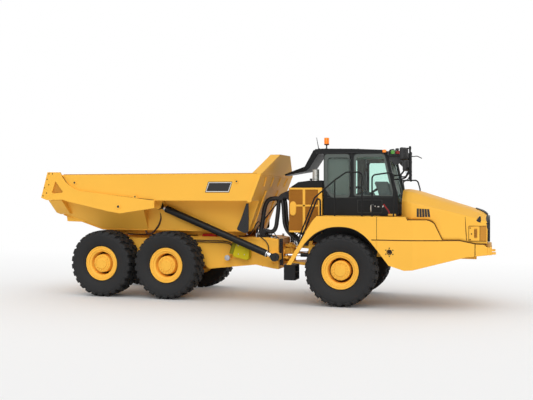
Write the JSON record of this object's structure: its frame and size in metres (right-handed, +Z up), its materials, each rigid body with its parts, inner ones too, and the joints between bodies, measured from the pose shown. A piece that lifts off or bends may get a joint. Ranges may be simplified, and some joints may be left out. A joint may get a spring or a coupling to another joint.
{
  "type": "articulated dump truck",
  "caption": "Articulated all-wheel-drive dump truck: cab unit with hood, pivoting hitch and a rear frame with tandem bogie and a hydraulically tipped open load body.",
  "frame": {"origin": "on the ground, under the middle of the whole machine's length and width", "axes": "+X forwards from the tail to the bumper, +Y to the driver's left, +Z up"},
  "size_m": [10.751, 2.89, 3.7998],
  "materials": {
    "yellow_paint": "satin",
    "black_paint": "satin",
    "dark_casting": "rough",
    "grey_steel": "satin",
    "chrome": "polished",
    "tyre": "matt",
    "hose_rubber": "matt",
    "tinted_glass": "clear",
    "lamp_glass": "clear",
    "amber_lens": "gloss",
    "red_lens": "gloss",
    "black_plastic": "matt",
    "seat_fabric": "woven"
  },
  "bodies": {
    "rear_frame": {"rear_frame": "yellow_paint", "bogie_beams": "yellow_paint", "axle_middle": "dark_casting", "axle_rear": "dark_casting", "rear_driveline": "grey_steel", "tail_lamps": "red_lens", "side_tanks": "yellow_paint", "hoses": "hose_rubber"},
    "hitch": {"hitch": "yellow_paint"},
    "front_unit": {"front_frame": "yellow_paint", "axle_front": "dark_casting", "front_suspension": "dark_casting", "engine": "dark_casting", "front_driveline": "grey_steel", "fenders": "yellow_paint", "side_panels": "yellow_paint", "bumper": "yellow_paint", "cab": "black_paint", "cab_roof": "black_paint", "cab_glass": "tinted_glass", "seat": "seat_fabric", "dash": "black_plastic", "cooler": "yellow_paint", "cooler_cover": "black_paint", "rear_guard": "black_paint", "exhaust_stack": "grey_steel", "steps": "black_paint", "handrails": "black_paint", "mirrors": "black_plastic", "beacon": "amber_lens", "work_lights": "lamp_glass"},
    "hood": {"hood": "yellow_paint", "grille": "black_paint"},
    "door": {"door": "black_paint", "door_glass": "tinted_glass"},
    "dump_body": {"dump_body": "yellow_paint", "body_rails": "yellow_paint", "hoist_brackets": "yellow_paint"},
    "hoist_barrels": {"hoist_barrels": "black_paint"},
    "hoist_rods": {"hoist_rods": "chrome"},
    "steer_barrel_left": {"steer_barrel_left": "black_paint"},
    "steer_barrel_right": {"steer_barrel_right": "black_paint"},
    "steer_rod_left": {"steer_rod_left": "chrome"},
    "steer_rod_right": {"steer_rod_right": "chrome"},
    "wheel_front_left": {"tyre_front_left": "tyre", "rim_front_left": "yellow_paint"},
    "wheel_front_right": {"tyre_front_right": "tyre", "rim_front_right": "yellow_paint"},
    "wheel_middle_left": {"tyre_middle_left": "tyre", "rim_middle_left": "yellow_paint"},
    "wheel_middle_right": {"tyre_middle_right": "tyre", "rim_middle_right": "yellow_paint"},
    "wheel_rear_left": {"tyre_rear_left": "tyre", "rim_rear_left": "yellow_paint"},
    "wheel_rear_right": {"tyre_rear_right": "tyre", "rim_rear_right": "yellow_paint"}
  },
  "joints": [
    {"name": "roll", "type": "hinge", "parent": "rear_frame", "child": "hitch", "pos_m": [0.4655, 0, 1.04], "axis": [-1, 0, 0], "range_deg": [-10, 10], "deforming": ["hoses"]},
    {"name": "steer", "type": "hinge", "parent": "hitch", "child": "front_unit", "pos_m": [0.6405, 0, 1.04], "axis": [0, 0, 1], "range_deg": [-45, 45], "deforming": ["hoses"]},
    {"name": "tip", "type": "hinge", "parent": "rear_frame", "child": "dump_body", "pos_m": [-4.1095, 0, 1.46], "axis": [0, -1, 0], "range_deg": [0, 70]},
    {"name": "hoist_tilt", "type": "hinge", "parent": "dump_body", "child": "hoist_barrels", "pos_m": [-2.4495, 0, 2.2], "axis": [0, -1, 0], "range_deg": [-75, 0]},
    {"name": "hoist_slide", "type": "slide", "parent": "hoist_barrels", "child": "hoist_rods", "axis": [0.9274, 0, -0.3741], "range_m": [0, 2.089]},
    {"name": "steer_tilt_left", "type": "hinge", "parent": "front_unit", "child": "steer_barrel_left", "pos_m": [1.6905, 0.34, 1.04], "axis": [0, 0, 1], "range_deg": [-3, 3]},
    {"name": "steer_slide_left", "type": "slide", "parent": "steer_barrel_left", "child": "steer_rod_left", "axis": [-0.9993, 0.037, 0], "range_m": [-0.28, 0.28]},
    {"name": "steer_tilt_right", "type": "hinge", "parent": "front_unit", "child": "steer_barrel_right", "pos_m": [1.6905, -0.34, 1.04], "axis": [0, 0, 1], "range_deg": [-3, 3]},
    {"name": "steer_slide_right", "type": "slide", "parent": "steer_barrel_right", "child": "steer_rod_right", "axis": [-0.9993, -0.037, 0], "range_m": [-0.28, 0.28]},
    {"name": "hood", "type": "hinge", "parent": "front_unit", "child": "hood", "pos_m": [5.1405, 0, 1.412], "axis": [0, 1, 0], "range_deg": [0, 50]},
    {"name": "door", "type": "hinge", "parent": "front_unit", "child": "door", "pos_m": [2.3055, 0.864, 2.6], "axis": [0, 0, 1], "range_deg": [0, 85]},
    {"name": "wheel_front_left", "type": "hinge", "parent": "front_unit", "child": "wheel_front_left", "pos_m": [2.0905, 1.11, 0.8], "axis": [0, 1, 0], "continuous": true},
    {"name": "wheel_front_right", "type": "hinge", "parent": "front_unit", "child": "wheel_front_right", "pos_m": [2.0905, -1.11, 0.8], "axis": [0, 1, 0], "continuous": true},
    {"name": "wheel_middle_left", "type": "hinge", "parent": "rear_frame", "child": "wheel_middle_left", "pos_m": [-2.0695, 1.11, 0.8], "axis": [0, 1, 0], "continuous": true},
    {"name": "wheel_middle_right", "type": "hinge", "parent": "rear_frame", "child": "wheel_middle_right", "pos_m": [-2.0695, -1.11, 0.8], "axis": [0, 1, 0], "continuous": true},
    {"name": "wheel_rear_left", "type": "hinge", "parent": "rear_frame", "child": "wheel_rear_left", "pos_m": [-3.7695, 1.11, 0.8], "axis": [0, 1, 0], "continuous": true},
    {"name": "wheel_rear_right", "type": "hinge", "parent": "rear_frame", "child": "wheel_rear_right", "pos_m": [-3.7695, -1.11, 0.8], "axis": [0, 1, 0], "continuous": true}
  ],
  "couplings": [
    {"joint": "hoist_tilt", "follows": "tip", "ratio": -1.0512},
    {"joint": "hoist_slide", "follows": "tip", "m_per_rad": 1.6939},
    {"joint": "steer_tilt_left", "follows": "steer", "ratio": -0.0042},
    {"joint": "steer_tilt_right", "follows": "steer", "ratio": -0.0042},
    {"joint": "steer_slide_left", "follows": "steer", "m_per_rad": -0.34316},
    {"joint": "steer_slide_right", "follows": "steer", "m_per_rad": 0.34316}
  ]
}
